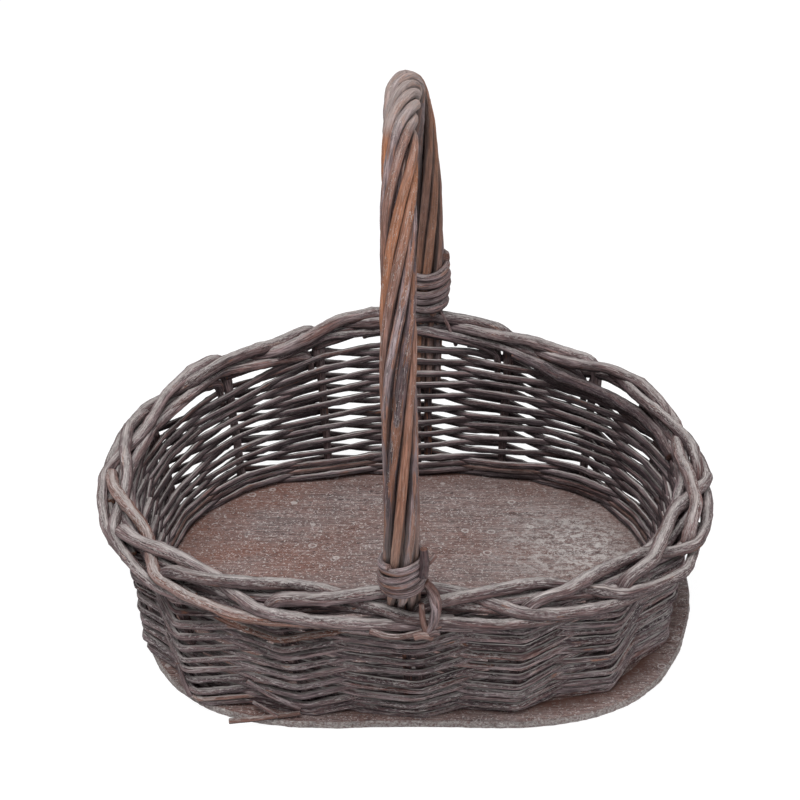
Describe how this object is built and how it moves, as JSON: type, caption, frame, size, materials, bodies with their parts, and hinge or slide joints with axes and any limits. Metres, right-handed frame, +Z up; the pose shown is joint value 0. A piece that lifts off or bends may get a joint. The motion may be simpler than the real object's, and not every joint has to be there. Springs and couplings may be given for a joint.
{
  "type": "oval wicker basket",
  "caption": "Oval open basket of woven willow rods on a flat oval base board, with a rolled border and a fixed twisted bow handle.",
  "frame": {"origin": "middle of the underside of the whole basket's box, on the surface it stands on", "axes": "+X along the length of the oval, +Y to the back, +Z up; the handle crosses over in the YZ plane"},
  "size_m": [0.3567, 0.3072, 0.3317],
  "materials": {
    "board": "weathered plywood with worn whitewash",
    "stake": "weathered willow bark, whitewash in the grain",
    "weaver": "weathered willow bark, dark grey brown",
    "handle_core": "weathered wood",
    "handle_strand": "willow rods, some worn bare to orange brown",
    "binding": "weathered willow rod"
  },
  "bodies": {
    "root": {"base_board": "board", "side_stake_01": "stake", "side_stake_02": "stake", "side_stake_03": "stake", "side_stake_04": "stake", "side_stake_05": "stake", "side_stake_06": "stake", "side_stake_07": "stake", "side_stake_08": "stake", "side_stake_09": "stake", "side_stake_10": "stake", "side_stake_11": "stake", "side_stake_12": "stake", "side_stake_13": "stake", "side_stake_14": "stake", "side_stake_15": "stake", "side_stake_16": "stake", "weaver_01_a": "weaver", "weaver_01_b": "weaver", "weaver_02_a": "weaver", "weaver_02_b": "weaver", "weaver_03_a": "weaver", "weaver_03_b": "weaver", "weaver_04_a": "weaver", "weaver_04_b": "weaver", "weaver_05_a": "weaver", "weaver_05_b": "weaver", "weaver_06_a": "weaver", "weaver_06_b": "weaver", "weaver_07_a": "weaver", "weaver_07_b": "weaver", "weaver_08_a": "weaver", "weaver_08_b": "weaver", "weaver_09_a": "weaver", "weaver_09_b": "weaver", "weaver_10_a": "weaver", "weaver_10_b": "weaver", "weaver_11_a": "weaver", "weaver_11_b": "weaver", "handle_core": "handle_core", "handle_strand_01": "handle_strand", "handle_strand_02": "handle_strand", "handle_strand_03": "handle_strand", "handle_strand_04": "handle_strand", "handle_strand_05": "handle_strand", "handle_strand_06": "handle_strand", "handle_strand_07": "handle_strand", "handle_strand_08": "handle_strand", "handle_strand_09": "handle_strand", "handle_strand_10": "handle_strand", "binding_front": "binding", "binding_back": "binding"}
  },
  "joints": []
}
